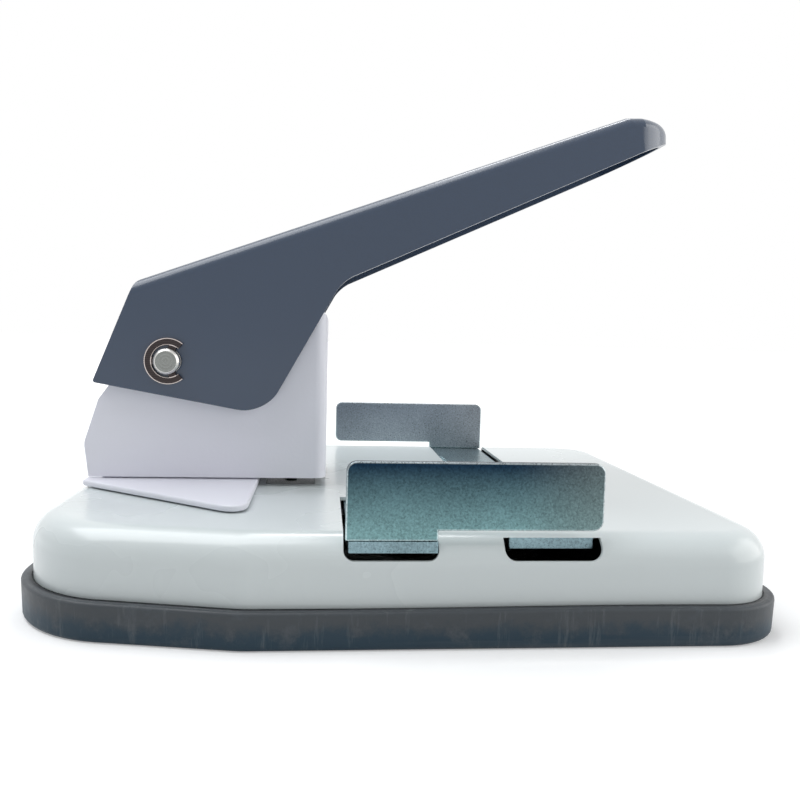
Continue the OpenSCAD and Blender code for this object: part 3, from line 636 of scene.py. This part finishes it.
# Painted highlights on rims: a mask of the band between two radii round the pin's axis.
band_tree, given, result = new_group("painted highlight band", {"Place": None, "Inner": 0.0, "Outer": 0.01},
                                     ["Mask"])
centred = add(band_tree, "ShaderNodeVectorMath", {"operation": "SUBTRACT"}, _0=given["Place"],
              _1=PIVOT / 1000).outputs[0]
flat = add(band_tree, "ShaderNodeVectorMath", {"operation": "MULTIPLY"}, _0=centred,
           _1=(1, 0, 1)).outputs[0]
radius = add(band_tree, "ShaderNodeVectorMath", {"operation": "LENGTH"}, _0=flat).outputs["Value"]
past_inner = math_node(band_tree, "GREATER_THAN", radius, given["Inner"])
within_outer = math_node(band_tree, "LESS_THAN", radius, given["Outer"])
band_tree.links.new(math_node(band_tree, "MULTIPLY", past_inner, within_outer), result["Mask"])


def paint_rim_highlights(material, rims, colour):
    """Lays painted highlights on rims over a steel's colour."""
    tree = material.node_tree
    shader = tree.nodes["Principled BSDF"]
    place = tree.nodes.new("ShaderNodeTexCoord").outputs["Object"]
    for inner, outer in rims:
        under = shader.inputs["Base Color"].links[0].from_socket
        mask = place_group(tree, band_tree, Place=place, Inner=inner / 1000,
                           Outer=outer / 1000)["Mask"]
        tone = blend_colour(tree, mask, under, colour + (1,))
        tree.links.new(tone, shader.inputs["Base Color"])
    return material


PIN = steel("turned pin", (0.24, 0.25, 0.24), 0.30, 420.0, centre=PIVOT / 1000, turned="Y",
            depth=0.3)
CLIP = steel("blued spring steel", (0.050, 0.042, 0.042), 0.18, 700.0)
# The bright bands on the pin's ends and on the snap rings are painted highlights.
finish_node("pivot_pin", paint_rim_highlights(PIN, PIN_HIGHLIGHT_RIMS, (0.62, 0.61, 0.59)), 0.08)
finish_node("pin_clips", paint_rim_highlights(CLIP, CLIP_HIGHLIGHT_RIMS, (0.55, 0.49, 0.47)), 0.22)


# ---- Chip tray ----
# The tray that clips on from below and catches the punched chips: soft dark plastic,
# moulded with a plump lip that stands off the body and waves a little, scuffed by use.

TRAY_X, TRAY_Y = 78.9, 65.4
TRAY_H, TRAY_WALL, TRAY_FLOOR, TRAY_FOOT_H = 8.0, 2.0, 1.6, 0.6
TRAY_CORNERS = [(TRAY_X, -TRAY_Y, 15.4), (TRAY_X, TRAY_Y, 15.4), (-31.445, TRAY_Y, 15.4),
                (-TRAY_X, 56.42, 24.4), (-TRAY_X, -56.42, 24.4), (-31.445, -TRAY_Y, 15.4)]
LIP_ROUND = 0.7
LIP_WAVE, LIP_CREST, LIP_WAVE_LENGTH = 0.22, 45, 130
STRAIGHT, WAVE_CUTS = 20, 30

# Scuffs: long faint rubs along the wall, short upright scratches, and blotches of wear.
scuff_tree, given, result = new_group("scuffs", {"Place": None, "Long": 60.0, "Short": 420.0},
                                      ["Rubs", "Scratches", "Blotches"])
flatter = add(scuff_tree, "ShaderNodeVectorMath", {"operation": "MULTIPLY"}, _0=given["Place"],
              _1=(0.12, 0.12, 4.0)).outputs[0]
rub = add(scuff_tree, "ShaderNodeTexNoise", Vector=flatter, Scale=given["Long"], Detail=5.0,
          Roughness=0.6)
upright = add(scuff_tree, "ShaderNodeVectorMath", {"operation": "MULTIPLY"}, _0=given["Place"],
              _1=(1.0, 1.0, 0.10)).outputs[0]
scratch = add(scuff_tree, "ShaderNodeTexNoise", Vector=upright, Scale=given["Short"], Detail=5.0,
              Roughness=0.75)
blotch = add(scuff_tree, "ShaderNodeTexNoise", Vector=given["Place"], Scale=140.0, Detail=6.0,
             Roughness=0.7)
scuff_tree.links.new(between(scuff_tree, rub.outputs[0], 0.52, 0.72), result["Rubs"])
scuff_tree.links.new(between(scuff_tree, scratch.outputs[0], 0.54, 0.70), result["Scratches"])
scuff_tree.links.new(blotch.outputs[0], result["Blotches"])

# Its colours: deep blue-grey at the foot, greyer above, the darker foot a painted shade, then worn,
# rubbed and scratched.
TRAY_FOOT, TRAY_UPPER = (0.012, 0.036, 0.058, 1), (0.056, 0.064, 0.072, 1)
TRAY_WORN, TRAY_RUBBED, TRAY_SCRATCHED = ((0.085, 0.10, 0.115, 1), (0.11, 0.12, 0.13, 1),
                                          (0.16, 0.18, 0.19, 1))
TRAY_PLASTIC, tree, shader, place = new_material("grey tray plastic")
marks = place_group(tree, scuff_tree, Place=place)
height = add(tree, "ShaderNodeSeparateXYZ", _0=place).outputs["Z"]
upper = math_node(tree, "ADD", math_node(tree, "MULTIPLY", height, 90.0),
                  math_node(tree, "MULTIPLY", marks["Blotches"], 0.9))
tone = blend_colour(tree, between(tree, upper, 0.62, 0.98), TRAY_FOOT, TRAY_UPPER)
for mask, share, colour in ((between(tree, marks["Blotches"], 0.52, 0.72), 0.6, TRAY_WORN),
                            (marks["Rubs"], 0.35, TRAY_RUBBED),
                            (marks["Scratches"], 0.35, TRAY_SCRATCHED)):
    tone = blend_colour(tree, math_node(tree, "MULTIPLY", mask, share), tone, colour)
tree.links.new(tone, shader.inputs["Base Color"])
tree.links.new(spread(tree, marks["Blotches"], 0.3, 0.7, 0.34, 0.58), shader.inputs["Roughness"])
shader.inputs["Specular IOR Level"].default_value = 0.35
relief(tree, shader, marks["Blotches"], 0.25, 0.0005)

bm = bmesh.new()
rounded_face(bm, TRAY_CORNERS, lambda x, y: (x, y, TRAY_H), 14)
long_edges = [e for e in bm.edges if e.calc_length() > STRAIGHT]
bmesh.ops.subdivide_edges(bm, edges=long_edges, cuts=WAVE_CUTS)
bm.faces.ensure_lookup_table()
bmesh.ops.inset_region(bm, faces=bm.faces[:], thickness=TRAY_WALL, depth=0, use_even_offset=True,
                       use_boundary=True)
inner = max(bm.faces, key=lambda f: f.calc_area())
sunk = bmesh.ops.extrude_face_region(bm, geom=[inner])
bmesh.ops.translate(bm, vec=(0, 0, TRAY_FLOOR - TRAY_H),
                    verts=[g for g in sunk["geom"] if isinstance(g, bmesh.types.BMVert)])
for drop, shrink in ((TRAY_H - TRAY_FOOT_H, 0.2), (TRAY_FOOT_H, 0.6)):
    ring = draw_wall(bm, [e for e in bm.edges if e.is_boundary], (0, 0, -drop))
    bmesh.ops.scale(bm, vec=(1 - shrink / TRAY_X, 1 - shrink / TRAY_Y, 1), verts=ring)
bmesh.ops.edgeloop_fill(bm, edges=[e for e in bm.edges if e.is_boundary])
bmesh.ops.recalc_face_normals(bm, faces=bm.faces)
lip = [e for e in bm.edges if all(abs(v.co.z - TRAY_H) < MERGE for v in e.verts)
       and any(abs(f.normal.z) < 0.7 for f in e.link_faces)]
round_edges(bm, lip, LIP_ROUND, 4)
for vert in bm.verts:
    if vert.co.z > TRAY_H - 1:
        turn = (vert.co.x - LIP_CREST) / LIP_WAVE_LENGTH * 2 * math.pi
        vert.co.z -= LIP_WAVE * (1 - math.cos(turn))
tray = to_object("tray_moulding", bm)
soften(tray, 0.6, 3, angle=30)
dress(tray, "tray", "tray_grey", [TRAY_PLASTIC], "chip_tray")


# ---- Setting ----
# A plain pale table that runs on into white, with a broad window to the right, a skylight
# over the head, and a small high window at the rear that lights the lever's top edge.

bm = bmesh.new()
bmesh.ops.create_grid(bm, x_segments=1, y_segments=1, size=4000)
table = to_object("table", bm)


def looked_at(tree):
    """1 where a surface is seen, straight, mirrored or through glass, and 0 for its light."""
    path = tree.nodes.new("ShaderNodeLightPath").outputs
    seen = math_node(tree, "MAXIMUM", path["Is Camera Ray"], path["Is Glossy Ray"])
    return math_node(tree, "MAXIMUM", seen, path["Is Transmission Ray"])


TABLE, tree, shader, place = new_material("pale table")
grain = add(tree, "ShaderNodeTexNoise", Vector=place, Scale=12.0, Detail=2.0)
tone = blend_colour(tree, grain.outputs[0], (0.80, 0.80, 0.80, 1), (0.82, 0.82, 0.82, 1))
tree.links.new(tone, shader.inputs["Base Color"])
shader.inputs["Roughness"].default_value = 0.9
shader.inputs["Specular IOR Level"].default_value = 0.0
reach = add(tree, "ShaderNodeVectorMath", {"operation": "LENGTH"}, _0=place).outputs["Value"]
paler = spread(tree, reach, 0.15, 0.8, 0.30, 1.0)
glow = math_node(tree, "MULTIPLY", looked_at(tree), paler)
tree.links.new(glow, shader.inputs["Emission Strength"])
shader.inputs["Emission Color"].default_value = (1, 1, 1, 1)
table.data.materials.append(TABLE)

world = bpy.data.worlds.new("studio")
bpy.context.scene.world = world
world.use_nodes = True
tree = world.node_tree
seen = looked_at(tree)
backdrop = tree.nodes["Background"]
tone = blend_colour(tree, seen, (0.92, 0.96, 1.0, 1), (1, 1, 1, 1))
tree.links.new(tone, backdrop.inputs["Color"])
tree.links.new(spread(tree, seen, 0.0, 1.0, 0.24, 1.0), backdrop.inputs["Strength"])


def window_light(name, at, aim, size, power, colour):
    """A broad soft lamp."""
    lamp = bpy.data.lights.new(name, "AREA")
    lamp.shape = "RECTANGLE"
    lamp.size, lamp.size_y = size
    lamp.energy = power
    lamp.color = colour
    holder = bpy.data.objects.new(name, lamp)
    bpy.context.collection.objects.link(holder)
    holder.location = at
    holder.rotation_euler = (Vector(aim) - Vector(at)).to_track_quat("-Z", "Y").to_euler()


window_light("window right", at=(0.82, -0.22, 0.25), aim=(0, -0.03, 0.03), size=(1.1, 0.9),
             power=5.4, colour=(1.0, 0.99, 0.97))
window_light("skylight", at=(-0.35, 0.0, 0.80), aim=(0, 0, 0.03), size=(0.7, 0.7),
             power=5.8, colour=(0.96, 0.98, 1.0))
window_light("rear window", at=(0.05, 0.38, 0.84), aim=(0, 0, 0.08), size=(0.30, 0.14),
             power=1.4, colour=(1.0, 1.0, 1.0))

# The camera stands low in front of the near guide, a little to the head's side of the middle.
CAMERA_AT = (-0.0168, -0.2104, 0.0599)
YAW, PITCH, ROLL = math.radians(5.58), math.radians(4.86), math.radians(1.54)
LENS = SENSOR = 36
NEAREST = 0.01
ahead = Vector((math.sin(YAW) * math.cos(PITCH), math.cos(YAW) * math.cos(PITCH), -math.sin(PITCH)))
right = Vector((math.cos(YAW), -math.sin(YAW), 0))
upward = right.cross(ahead)
tilted_right = math.cos(ROLL) * right + math.sin(ROLL) * upward
tilted_up = math.cos(ROLL) * upward - math.sin(ROLL) * right
camera = bpy.data.objects.new("camera", bpy.data.cameras.new("camera"))
bpy.context.collection.objects.link(camera)
camera.data.lens = LENS
camera.data.sensor_width = SENSOR
camera.data.clip_start = NEAREST
turn = Matrix((tilted_right, tilted_up, -ahead)).transposed()
camera.matrix_world = Matrix.Translation(CAMERA_AT) @ turn.to_4x4()
bpy.context.scene.camera = camera
bpy.context.scene.view_settings.view_transform = "Standard"
